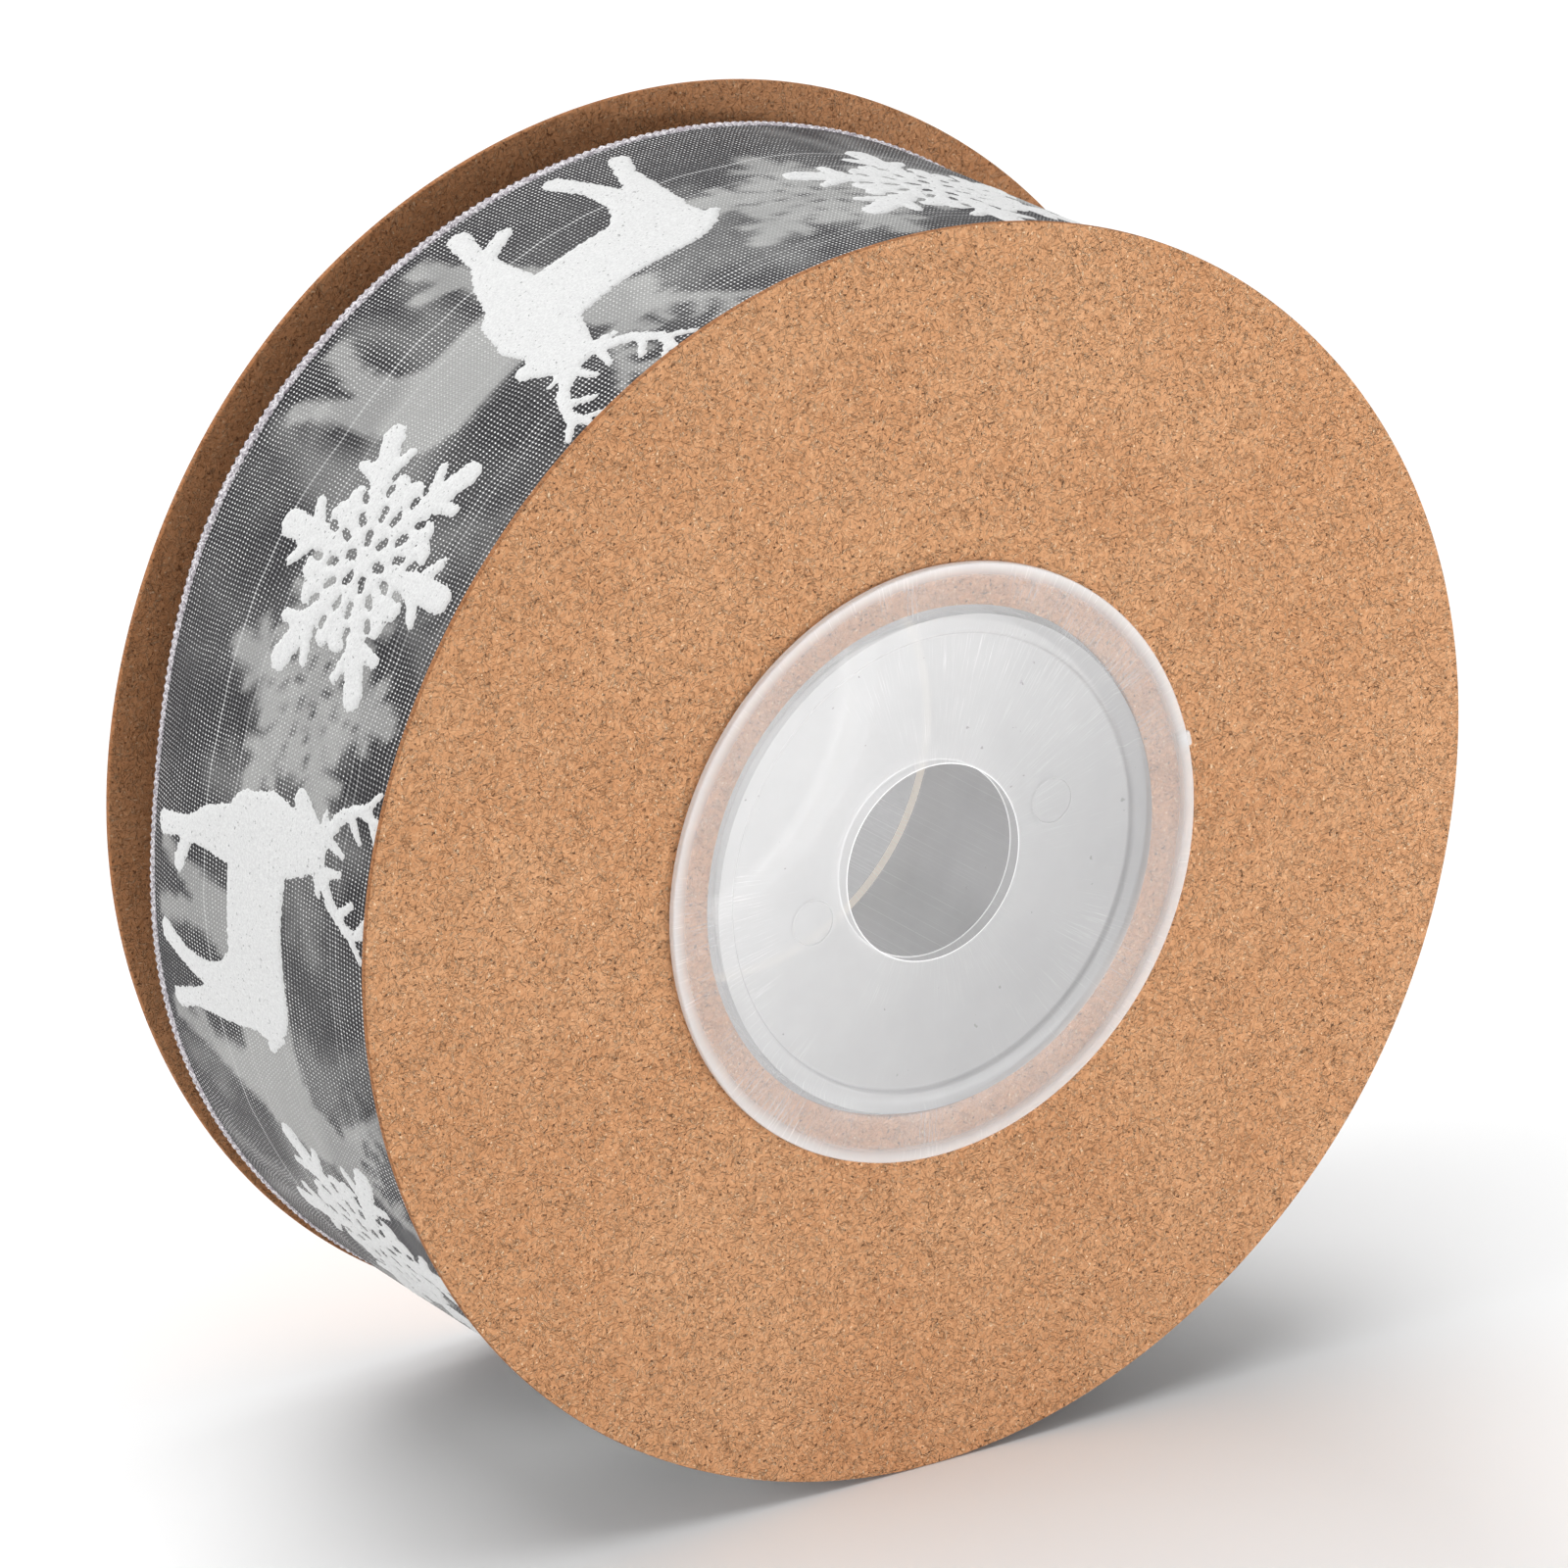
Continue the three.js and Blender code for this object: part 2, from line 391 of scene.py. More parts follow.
def natural_plastic(name, veil, colour=NATURAL, painted_shading=0.0, glow=0.0):
    """veil is how much of what is behind it one face hides. The next to last argument is painted
    shade: how much greyer the plastic is painted from its upper left to its lower right. The last is
    painted light: an emission that stands for light carried inside its walls."""
    recipe = Recipe(name)
    place = recipe.millimetres()
    centred = recipe.mapped(place, location=(-AXLE_X / MM, 0, -AXLE_Z / MM))
    split = recipe.node("SeparateXYZ", {"Vector": centred})
    x, z = split.outputs[0], split.outputs[2]
    squares = recipe.math("ADD", recipe.math("MULTIPLY", x, x), recipe.math("MULTIPLY", z, z))
    reach = recipe.math("SQRT", squares)
    angle = recipe.math("ARCTAN2", z, x)
    around_axle = recipe.math("MULTIPLY", angle, 90.0)
    polar = recipe.node("CombineXYZ", {"X": around_axle, "Y": reach}).outputs[0]
    scratches = recipe.noise(recipe.mapped(polar, scale=(1.6, 0.3, 1)), 1.0, detail=4, roughness=0.7)
    scuffed = recipe.steps(recipe.noise(place, 0.11, detail=2), 0.4, 0.6)
    marks = recipe.math("MULTIPLY", recipe.steps(scratches, 0.52, 0.72), scuffed)
    haze = recipe.noise(place, 0.22, detail=3)
    dust = recipe.steps(recipe.noise(place, 1.7, detail=2), 0.75, 0.79)
    shade = recipe.blend(recipe.math("MULTIPLY", dust, 0.6), colour, DUST)
    # Painted light: the lip's last millimetre and the bore's rim are made more opaque, so whiter.
    rim = recipe.steps(reach, LIP_GLOW_START / MM, LIP_RADIUS / MM)
    bore = recipe.steps(reach, ROD_RADIUS / MM + 0.12, ROD_RADIUS / MM)
    edges = recipe.math("MULTIPLY", recipe.math("ADD", rim, bore), 0.36)
    # Painted shade: the colour is greyer towards the lower right.
    lower_right_shade = recipe.steps(recipe.math("SUBTRACT", x, z), -15, 15, smooth=False)
    shade = recipe.blend(recipe.math("MULTIPLY", lower_right_shade, painted_shading), shade, PAINTED_SHADE_GREY)
    hide = recipe.math("ADD", recipe.math("MULTIPLY", haze, 0.14), veil - 0.07)
    hide = recipe.math("ADD", hide, recipe.math("MULTIPLY", marks, 0.22))
    hide = recipe.math("ADD", hide, edges, clamp=True)
    # The emission is painted light, stronger at the bore.
    return recipe.shade(
        Base_Color=shade, Alpha=hide, Roughness=recipe.math("MULTIPLY_ADD", scratches, 0.2, 0.14),
        Emission_Color=colour, Emission_Strength=recipe.math("MULTIPLY_ADD", bore, 0.5, glow),
        Normal=recipe.bump(scratches, 0.012 * MM, 0.4),
    )


# The web carries painted shade; the barrel and the sleeve's rim carry painted light.
lip_plastic = natural_plastic("natural plastic lip", 0.20)
web_plastic = natural_plastic("natural plastic web", 0.5, painted_shading=0.6)
barrel_plastic = natural_plastic("natural plastic barrel", 0.34, glow=0.19)
rim_plastic = natural_plastic("natural plastic rim", 0.85, colour=(0.95, 0.88, 0.79), glow=0.3)

# %% [markdown]
# Each half of the hub is one turned wall: lip, shoulder, dished web and barrel. The moulding leaves
# two round marks on the web, where pins pushed it out of the mould, and a nub on the lip's edge,
# where the plastic came in. The marks are thin rings sunk half into the web.

# %% Model the two halves of the hub
HUB_STEPS = 192
LIP_THICKNESS = 0.45 * MM
WEB_RECESS = 0.5 * MM
WEB_THICKNESS = 0.8 * MM
WALL = 0.6 * MM
SLEEVE_GAP = 0.3 * MM
BARREL_RADIUS = 13.9 * MM
PIN_MARK_REACH = 7.85 * MM
PIN_MARK_RADIUS = 1.3 * MM
PIN_MARK_ANGLES = (14.6, -166.6)
PIN_MARK_BEAD = 0.09 * MM
GATE_ANGLE = 13.5
NUB_SIZE = (0.7 * MM, 0.36 * MM, 0.9 * MM)
LIP_ZONE, WEB_ZONE, BARREL_ZONE, SLEEVE_END_ZONE = range(4)


def on_face(reach, degrees, y):
    angle = math.radians(degrees)
    return Vector((AXLE_X + reach * math.cos(angle), y, AXLE_Z + reach * math.sin(angle)))


def pin_mark(web, degrees):
    """A thin raised ring on the web."""
    centre = on_face(PIN_MARK_REACH, degrees, web)
    corners = [math.radians(60 * k) for k in range(6)]
    section = [(PIN_MARK_RADIUS + PIN_MARK_BEAD * math.cos(a), web + 0.6 * PIN_MARK_BEAD * math.sin(a))
               for a in corners]
    return turn_section(centre, section, 40)


def gate_nub(lip, inwards):
    """The stump of plastic left on the lip's edge."""
    clear_selection()
    middle = on_face(LIP_RADIUS - 0.1 * MM, GATE_ANGLE, lip + inwards * LIP_THICKNESS / 2)
    bpy.ops.mesh.primitive_cube_add(
        size=1, location=middle, rotation=(0, -math.radians(GATE_ANGLE), 0), scale=NUB_SIZE)
    nub = bpy.context.object
    bpy.ops.object.transform_apply(location=True, rotation=True, scale=True)
    apply_modifier(nub, "BEVEL", width=0.14 * MM, segments=3)
    return nub


def hub_half(node, inwards, sleeve_radius, sleeve_end):
    """inwards is +1 for the front half, whose barrel runs towards +Y, and -1 for the back half."""
    low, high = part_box(node)
    lip = low.y if inwards > 0 else high.y
    lip_back = lip + inwards * LIP_THICKNESS
    web = lip + inwards * WEB_RECESS
    web_back = web + inwards * WEB_THICKNESS
    inside = sleeve_radius - WALL
    dish = BARREL_RADIUS - 1.25 * MM
    section = [
        (ROD_RADIUS, web), (dish * 0.6, web), (dish, web),
        (dish + 0.12 * MM, lip + inwards * 0.28 * MM), (dish + 0.3 * MM, lip + inwards * 0.22 * MM),
        (BARREL_RADIUS - 0.35 * MM, lip + inwards * 0.2 * MM), (BARREL_RADIUS - 0.05 * MM, lip),
        (LIP_RADIUS * 0.93, lip), (LIP_RADIUS, lip), (LIP_RADIUS, lip_back),
        (sleeve_radius, lip_back), (sleeve_radius, sleeve_end), (inside, sleeve_end), (inside, web_back),
        (inside * 0.6, web_back), (ROD_RADIUS, web_back),
    ]
    half = turn_section(FRONT_CENTRE, section, HUB_STEPS)
    apply_modifier(half, "BEVEL", width=0.1 * MM, segments=3,
                   limit_method="ANGLE", angle_limit=math.radians(40))
    zones = []
    for face in half.data.polygons:
        reach = math.hypot(face.center.x - AXLE_X, face.center.z - AXLE_Z)
        depth = (face.center.y - lip) * inwards
        if abs(face.center.y - sleeve_end) < 0.01 * MM:
            zones.append(SLEEVE_END_ZONE)
        elif reach < BARREL_RADIUS and depth < 1.5 * MM:
            zones.append(WEB_ZONE)
        else:
            zones.append(BARREL_ZONE if depth > 1.0 * MM else LIP_ZONE)
    for degrees in PIN_MARK_ANGLES:
        mark = pin_mark(web, degrees)
        zones += [WEB_ZONE] * len(mark.data.polygons)
        make_active(half)
        mark.select_set(True)
        bpy.ops.object.join()
    nub = gate_nub(lip, inwards)
    zones += [LIP_ZONE] * len(nub.data.polygons)
    make_active(half)
    nub.select_set(True)
    bpy.ops.object.join()
    finish_piece(half, "clear_" + node, "hub", "clear_plastic",
                 lip_plastic, web_plastic, barrel_plastic, rim_plastic)
    half.data.polygons.foreach_set("material_index", zones)
    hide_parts(node)


hub_half("front_hub", 1, BARREL_RADIUS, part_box("front_hub")[1].y)
hub_half("back_hub", -1, BARREL_RADIUS - WALL - SLEEVE_GAP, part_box("back_hub")[0].y)

# %% [markdown]
# ## Organza
# Organza is woven so openly that the gaps show what lies under it: dark where there is only more
# ribbon, a painted shade, and pale where the print of the wrap below comes through. The ribbon's UV
# map is in millimetres along and across, so threads are drawn by two cosines: one for the ends,
# which run along the ribbon, and one for the picks, which cross them. Each crossing carries a
# painted highlight, a little brighter on some than on others, and now and then on the whole of one
# end. A `below` attribute says how much white print lies under each point.

# %% Organza material
PICK_PITCH = 0.24         # millimetres from pick to pick, along the ribbon
END_PITCH = 0.31          # millimetres from end to end, across it
# Painted shade: the dark gaps. Painted highlight: the bright yarn. Painted light: the first wrap's backlit
# colours.
GAP_SHADE = (0.010, 0.010, 0.012)
GAP_PALE = (0.40, 0.40, 0.39)
YARN_DULL = (0.05, 0.048, 0.053)
YARN_GLINT = (0.92, 0.92, 0.92)
YARN_OVER_PRINT = (0.54, 0.54, 0.53)
BACKLIT_GAP = (0.44, 0.425, 0.43)
BACKLIT_YARN = (0.62, 0.60, 0.61)


def organza(name, painted_gap, dull_yarn):
    recipe = Recipe(name)
    flat = recipe.node("UVMap", uv_map="woven").outputs[0]
    wander = recipe.noise(flat, 0.15, detail=2)
    split = recipe.node("SeparateXYZ", {"Vector": flat})
    turns, swell = [], []
    for axis, drift, pitch in ((0, -0.8, PICK_PITCH), (1, 1.3, END_PITCH)):
        moved = recipe.math("MULTIPLY_ADD", wander, drift, split.outputs[axis])
        count = recipe.math("MULTIPLY", moved, 1 / pitch)
        wave = recipe.math("COSINE", recipe.math("MULTIPLY", count, 2 * math.pi))
        turns.append(count)
        swell.append(recipe.math("MULTIPLY_ADD", wave, 0.5, 0.5))
    height = recipe.math("MAXIMUM", *swell)
    beads = recipe.steps(recipe.math("MULTIPLY", *swell), 0.48, 0.9)
    rounded = [recipe.math("ROUND", count) for count in turns]
    cell = recipe.node("CombineXYZ", {"X": rounded[0], "Y": rounded[1]}).outputs[0]
    luck = recipe.node("TexWhiteNoise", {"Vector": cell}, noise_dimensions="3D").outputs["Value"]
    chance = recipe.node("TexWhiteNoise", {"W": rounded[1]}, noise_dimensions="1D").outputs["Value"]
    # Now and then a whole end carries a painted highlight.
    glinting_end = recipe.math("POWER", chance, 18.0)
    thread = recipe.steps(height, 0.62, 0.94)
    below = recipe.node("Attribute", attribute_name="below").outputs["Fac"]
    patch = recipe.steps(recipe.noise(flat, 0.16, detail=3), 0.3, 0.7, smooth=False)
    # The gap colour is painted: shade on the outer wrap, light on the first wrap.
    gap = recipe.blend(below, painted_gap, GAP_PALE)
    # Painted highlight on the crossings, brighter in patches.
    lustre = recipe.math("MULTIPLY", recipe.math("MULTIPLY_ADD", luck, 0.75, 0.4), beads)
    lustre = recipe.math("MULTIPLY", lustre, recipe.math("MULTIPLY_ADD", patch, 1.3, 0.25))
    bright = recipe.math("MULTIPLY_ADD", glinting_end, 0.6, lustre, clamp=True)
    yarn = recipe.blend(bright, dull_yarn, YARN_GLINT)
    yarn = recipe.blend(recipe.math("MULTIPLY", below, 0.6), yarn, YARN_OVER_PRINT)
    return recipe.shade(
        Base_Color=recipe.blend(thread, gap, yarn), Roughness=0.5, Specular_IOR_Level=0.12,
        Sheen_Weight=0.01, Sheen_Roughness=0.4,
        Normal=recipe.bump(height, 0.035 * MM, 0.8),
    )


organza_material = organza("grey organza", GAP_SHADE, YARN_DULL)
backlit_organza = organza("grey organza, first wrap", BACKLIT_GAP, BACKLIT_YARN)

# %% [markdown]
# ## Winding the ribbon
# The ribbon is drawn flat and then wound. `wound` turns a distance along the ribbon, a station
# across it and a height above it into a point, so the cloth, its selvages and its prints all use it
# and can't come apart. The outer wrap follows the same spiral as the CAD winding. On one side its
# back edge has dropped towards the axle and slipped sideways, as a loose wrap does.

# %% Wind along the spiral
LAYER = 0.35 * MM
END_ANGLE = math.radians(-38)
TURN_LENGTH = 2 * math.pi * RIBBON_RADIUS
RIBBON_START = END_ANGLE * RIBBON_RADIUS
RIBBON_END = RIBBON_START + TURN_LENGTH
FRONT_EDGE, BACK_EDGE = ribbon_low.y, ribbon_high.y
DROP_PLACE = 103.5 * MM
DROP_LENGTH = 12 * MM
DROP_WIDTH = 7 * MM
EDGE_DROP = 0.05 * MM
LOOSE_DROP = 1.0 * MM
LOOSE_SLIP = 0.5 * MM
PRINT_ROOM = 0.1 * MM


def loosened(along):
    """1 where the wrap is loosest and 0 where it lies tight."""
    round_about = np.mod(along - DROP_PLACE + TURN_LENGTH / 2, TURN_LENGTH) - TURN_LENGTH / 2
    return np.exp(-(round_about / DROP_LENGTH) ** 2)


def wound(along, across, height):
    """Arrays of distance along the ribbon, station on Y and height above it, in metres, to points."""
    angle = along / RIBBON_RADIUS
    loose = loosened(along)
    spiral = LAYER * (angle - END_ANGLE) / (2 * math.pi)
    near_edge = np.clip((across - BACK_EDGE + DROP_WIDTH) / DROP_WIDTH, 0, 1)
    drop = (EDGE_DROP + LOOSE_DROP * loose) * near_edge ** 2
    slip = LOOSE_SLIP * loose * np.clip((across - FRONT_EDGE) / (BACK_EDGE - FRONT_EDGE), 0, 1)
    radius = RIBBON_RADIUS - PRINT_ROOM - spiral - drop + height
    return np.stack([AXLE_X + radius * np.cos(angle), across - slip, AXLE_Z + radius * np.sin(angle)], -1)


# %% [markdown]
# ## The print
# The print is white flock: reindeer that face each other across a snowflake. Both are generic
# shapes built from tapered strokes, as with a round brush. A stroke has a distance from its edge at
# every point, and the smallest distance to any stroke is the distance to the whole shape. That one
# function gives the outline of the raised print and the ghost of the print one wrap below.

# %% Draw with strokes
PITCH = 40.9 * MM         # from one snowflake to the next
FIRST_FLAKE = 5.5 * MM
FLAKE_STATION = -3.7 * MM


def stroke_distance(x, y, strokes):
    """Distance outside the nearest stroke. A stroke is a list of (x, y, radius) points."""
    nearest = np.full(np.shape(x), 1e9)
    for stroke in strokes:
        for (x0, y0, r0), (x1, y1, r1) in zip(stroke, stroke[1:]):
            dx, dy = x1 - x0, y1 - y0
            part = np.clip(((x - x0) * dx + (y - y0) * dy) / (dx * dx + dy * dy), 0, 1)
            away = np.hypot(x - x0 - part * dx, y - y0 - part * dy)
            nearest = np.minimum(nearest, away - (r0 + (r1 - r0) * part))
    return nearest


def reindeer_strokes():
    """A standing reindeer that looks along +x, in millimetres, with up as +y."""
    barrel = [(-4.2, 1.2, 3.1), (0.0, 1.3, 2.9), (3.5, 1.5, 3.1)]
    haunch = [(-4.4, 0.4, 2.8), (-5.6, -2.0, 1.9)]
    chest = [(3.9, 0.9, 3.1), (4.9, 2.7, 2.5), (5.3, 5.4, 1.8), (5.6, 6.8, 1.5)]
    head = [(5.7, 6.9, 1.5), (7.6, 5.2, 0.75)]
    ears = [[(4.4, 7.6, 0.5), (3.3, 7.9, 0.3)], [(6.7, 7.7, 0.45), (7.8, 7.8, 0.25)]]
    tail = [(-6.3, 2.6, 0.8), (-7.5, 1.6, 0.45)]
    far_hind_leg = [(-5.8, -1.6, 1.7), (-6.9, -4.6, 0.95), (-7.4, -6.8, 0.65), (-8.2, -8.8, 0.72)]
    near_hind_leg = [(-4.8, -0.8, 1.8), (-5.3, -3.8, 1.1), (-5.0, -6.6, 0.7), (-4.2, -9.1, 0.8)]
    fore_leg = [(3.6, -0.6, 1.7), (3.0, -3.8, 0.9), (2.8, -6.4, 0.7), (2.1, -9.2, 0.8)]
    bent_leg = [(4.3, -0.6, 1.6), (4.0, -3.6, 0.85), (3.1, -5.5, 0.7), (0.5, -7.0, 0.62)]
    antlers = []
    for lean in (-1, 1):
        def at(side, height, radius):
            return (5.5 + side * lean, height, radius)

        antlers += [
            [at(0.8, 7.9, 0.6), at(2.4, 9.2, 0.5), at(3.3, 10.9, 0.42), at(3.0, 13.0, 0.3)],
            [at(0.9, 8.3, 0.45), at(0.5, 9.9, 0.3)],
            [at(2.8, 9.9, 0.42), at(1.7, 11.3, 0.3)],
            [at(3.3, 11.2, 0.4), at(4.5, 12.4, 0.3)],
            [at(3.1, 12.0, 0.36), at(2.0, 12.9, 0.28)],
        ]
    legs = [far_hind_leg, near_hind_leg, fore_leg, bent_leg]
    return [barrel, haunch, chest, head, *ears, tail, *legs, *antlers]


def around(reach, side, turn):
    """A point at a reach along the snowflake's arm, and a distance to its side."""
    angle = math.radians(60 * turn + 30)
    across, up = math.cos(angle), math.sin(angle)
    return (reach * across - side * up, reach * up + side * across)


def snowflake_strokes():
    """The six arms and the rosette between them, in millimetres."""
    strokes = []
    for turn in range(6):
        strokes.append([
            (*around(0, 0, turn), 0.9), (*around(4.6, 0, turn), 0.85), (*around(7.5, 0, turn), 0.9),
        ])
        for side in (-1, 1):
            strokes.append([(*around(4.9, 0, turn), 0.7), (*around(6.1, 1.75 * side, turn), 0.42)])
            strokes.append([(*around(2.6, 0, turn), 0.6), (*around(4.0, 1.55 * side, turn), 0.85)])
            strokes.append([(*around(1.3, 0.6 * side, turn), 0.7), (*around(2.9, 1.5 * side, turn), 0.62)])
    return strokes


def snowflake_pinholes():
    """The pinholes of the rosette, in millimetres."""
    holes = []
    for turn in range(6):
        holes.append([(*around(1.15, 0, turn), 0.2), (*around(1.55, 0, turn), 0.2)])
        for side in (-1, 1):
            holes.append([(*around(2.35, 0.72 * side, turn), 0.17), (*around(2.8, 0.86 * side, turn), 0.17)])
            holes.append([(*around(3.75, 0.78 * side, turn), 0.14), (*around(4.1, 0.95 * side, turn), 0.17)])
    return holes


REINDEER = reindeer_strokes()
SNOWFLAKE = snowflake_strokes()
PINHOLES = snowflake_pinholes()
FRAYING = 0.10            # millimetres that the flock's edge wanders


def print_distance(along, across):
    """Distance outside the print in millimetres, for the whole repeating pattern."""
    place = (along - FIRST_FLAKE) / PITCH
    x = (place - np.round(place)) * PITCH / MM
    y = (FLAKE_STATION - across) / MM
    flake = np.maximum(stroke_distance(x, y, SNOWFLAKE), -stroke_distance(x, y, PINHOLES))
    pair = np.floor(place)
    facing = np.where(np.mod(pair, 2) == 1, 1, -1)
    deer = stroke_distance((place - pair - 0.5) * facing * PITCH / MM, -across / MM, REINDEER)
    ripple = np.sin(along / MM * 9.1 + 3 * np.sin(across / MM * 5.3)) * np.sin(across / MM * 8.3)
    return np.minimum(flake, deer) + FRAYING * ripple


# %% [markdown]
# ## The outer wrap
# The outer wrap is a strip of cloth, cut at its free end, that goes once round the winding. A grid
# is added at the ribbon's width and length, then wound. Each wrap below shows the same print, moved
# along by the same step from wrap to wrap, fainter and softer the deeper it lies.

# %% Make the outer wrap
GRID = 0.45 * MM
CLOTH_THICKNESS = 0.07 * MM
STEP_PER_WRAP = -33.9 * MM
DEEPEST_GHOST = 3


def ghost_of_print(along, across, depth):
    """How much white print shows from depth wraps below, from 0 to 1."""
    distance = print_distance(along - depth * STEP_PER_WRAP, across)
    blur = 0.3 + 1.2 * (depth - 1)
    return np.clip(0.5 - distance / blur, 0, 1) * 0.75 * 0.4 ** (depth - 1)


def cloth_grid(start, length, cell):
    """A flat grid from start along the ribbon, with its woven UV map in millimetres."""
    width = BACK_EDGE - FRONT_EDGE
    clear_selection()
    bpy.ops.mesh.primitive_grid_add(
        x_subdivisions=round(length / cell), y_subdivisions=round(width / cell), size=1)
    cloth = bpy.context.object
    flat = np.empty(len(cloth.data.vertices) * 3)
    cloth.data.vertices.foreach_get("co", flat)
    flat = flat.reshape(-1, 3)
    along = start + (flat[:, 0] + 0.5) * length
    across = FRONT_EDGE + (flat[:, 1] + 0.5) * width
    woven = cloth.data.uv_layers[0]
    woven.name = "woven"
    corner = np.empty(len(cloth.data.loops), dtype=np.int32)
    cloth.data.loops.foreach_get("vertex_index", corner)
    woven.data.foreach_set("uv", (np.stack([along, across], -1)[corner] / MM).ravel())
    return cloth, along, across


def place_points(piece, points):
    piece.data.vertices.foreach_set("co", np.asarray(points, dtype=float).ravel())
    piece.data.update()


def store_ghost(piece, ghost):
    layer = piece.data.attributes.new("below", "FLOAT", "POINT")
    layer.data.foreach_set("value", np.clip(ghost, 0, 1).astype(np.float32))


outer_wrap, along, across = cloth_grid(RIBBON_START, TURN_LENGTH, GRID)
store_ghost(outer_wrap, sum(ghost_of_print(along, across, depth) for depth in range(1, DEEPEST_GHOST + 1)))
place_points(outer_wrap, wound(along, across, 0))
apply_modifier(outer_wrap, "SOLIDIFY", thickness=CLOTH_THICKNESS, offset=-1)
finish_piece(outer_wrap, "ribbon_outer_wrap", "hub", "sheer_ribbon", organza_material, smooth_angle=60)
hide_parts("ribbon")

# %% [markdown]
# ## The first wrap
# The first wrap lies on the barrel and shows through it. It is the same cloth on a smaller round,
# seen from inside, and is given paler colours as painted light, for the light that comes through
# the barrel. Its print shows more strongly than a print that lies under another wrap.

# %% Make the first wrap
FIRST_WRAP_GRID = 0.5 * MM
first_length = 2 * math.pi * RIBBON_BORE
first_wrap, along, across = cloth_grid(0, first_length, FIRST_WRAP_GRID)
store_ghost(first_wrap, 1.4 * ghost_of_print(along, across, 1))
turned = along / RIBBON_BORE
place_points(first_wrap, np.stack([
    AXLE_X + RIBBON_BORE * np.cos(turned), across, AXLE_Z + RIBBON_BORE * np.sin(turned)], -1))
apply_modifier(first_wrap, "WELD", merge_threshold=0.001 * MM)
apply_modifier(first_wrap, "SOLIDIFY", thickness=CLOTH_THICKNESS, offset=-1)
finish_piece(first_wrap, "ribbon_first_wrap", "hub", "sheer_ribbon", backlit_organza, smooth_angle=60)

# %% [markdown]
# ## The wraps between
# More than fifty wraps lie between the first and the last. Only their edges show, as fine rings in
# the gap beside each disc. Rings are drawn by a cosine of the distance from the axle.

# %% Wound edge material
def wound_edges(name):
    recipe = Recipe(name)
    place = recipe.millimetres()
    centred = recipe.mapped(place, location=(-AXLE_X / MM, 0, -AXLE_Z / MM), scale=(1, 0.05, 1))
    reach = recipe.node("VectorMath", {0: centred}, operation="LENGTH").outputs["Value"]
    uneven = recipe.noise(place, 0.5, detail=3)
    rings = recipe.math("MULTIPLY_ADD", uneven, 4.0, recipe.math("MULTIPLY", reach, 18.0))
    wave = recipe.math("COSINE", rings)
    beads = recipe.noise(place, 2.6, detail=2)
    line = recipe.steps(recipe.math("MULTIPLY_ADD", beads, 1.2, wave), -0.2, 1.2)
    return recipe.shade(
        Base_Color=recipe.blend(line, (0.06, 0.058, 0.065), (0.62, 0.60, 0.64)), Roughness=0.6,
        Normal=recipe.bump(line, 0.12 * MM, 0.8),
    )


wound_edge_material = wound_edges("ribbon edges")

# %% [markdown]
# The wraps are one turned block whose ends step in and out a little. The block stays a little below
# the outer wrap, and it follows that wrap down where it has dropped, so neither cuts the other.

# %% Make the wraps between
block_inner = RIBBON_BORE + 2 * CLOTH_THICKNESS
block_outer = RIBBON_RADIUS - PRINT_ROOM - LAYER - 3 * CLOTH_THICKNESS
END_RINGS = 26


def end_face(edge, inwards, count):
    """Points across one end of the block, each set in from the ribbon's edge by its own amount."""
    return [(block_inner + (block_outer - block_inner) * k / count,
             edge + inwards * (0.28 + 0.14 * math.sin(2.4 * k)) * MM) for k in range(count + 1)]


shoulder = (block_outer, BACK_EDGE - DROP_WIDTH)
section = [*end_face(FRONT_EDGE, 1, END_RINGS), shoulder, *reversed(end_face(BACK_EDGE, -1, END_RINGS))]
block = turn_section(FRONT_CENTRE, section, 144)
for vertex in block.data.vertices:
    arm = vertex.co - FRONT_CENTRE
    arm.y = 0
    share = (arm.length - block_inner) / (block_outer - block_inner)
    depth = min(max((vertex.co.y - BACK_EDGE + DROP_WIDTH) / DROP_WIDTH, 0), 1)
    loose = float(loosened(math.atan2(arm.z, arm.x) * RIBBON_RADIUS))
    vertex.co -= arm.normalized() * (EDGE_DROP + LOOSE_DROP * loose) * depth ** 2 * share
    vertex.co.y -= LOOSE_SLIP * loose * depth * share
finish_piece(block, "ribbon_wraps_between", "hub", "sheer_ribbon", wound_edge_material)

# %% [markdown]
# ## Selvages
# Both edges of the ribbon are bound with a thicker yarn that shows as a row of small pale beads. It
# is a thin tube swept along the edge, fuller at each bead. The front one is kept narrower, so that
# its beads don't show as a bright zigzag along the front disc.

# %% Make the selvages
def selvage_yarn(name):
    recipe = Recipe(name)
    place = recipe.millimetres()
    fuzz = recipe.noise(place, 6.0, detail=3, roughness=0.7)
    tint = recipe.noise(place, 1.6, detail=2)
    colour = recipe.blend(recipe.steps(fuzz, 0.38, 0.64), (0.24, 0.21, 0.24), (0.92, 0.89, 0.92))
    colour = recipe.blend(recipe.steps(tint, 0.54, 0.76), colour, (0.42, 0.37, 0.42))
    return recipe.shade(Base_Color=colour, Roughness=0.55, Normal=recipe.bump(fuzz, 0.05 * MM, 0.9))


selvage_material = selvage_yarn("selvage yarn")
BEAD_PITCH = 0.5 * MM
FRONT_HALF_WIDTH = 0.2 * MM
BACK_HALF_WIDTH = 0.48 * MM
SELVAGE_HALF_HEIGHT = 0.24 * MM
STEPS_PER_BEAD = 4
SELVAGE_SIDES = 8


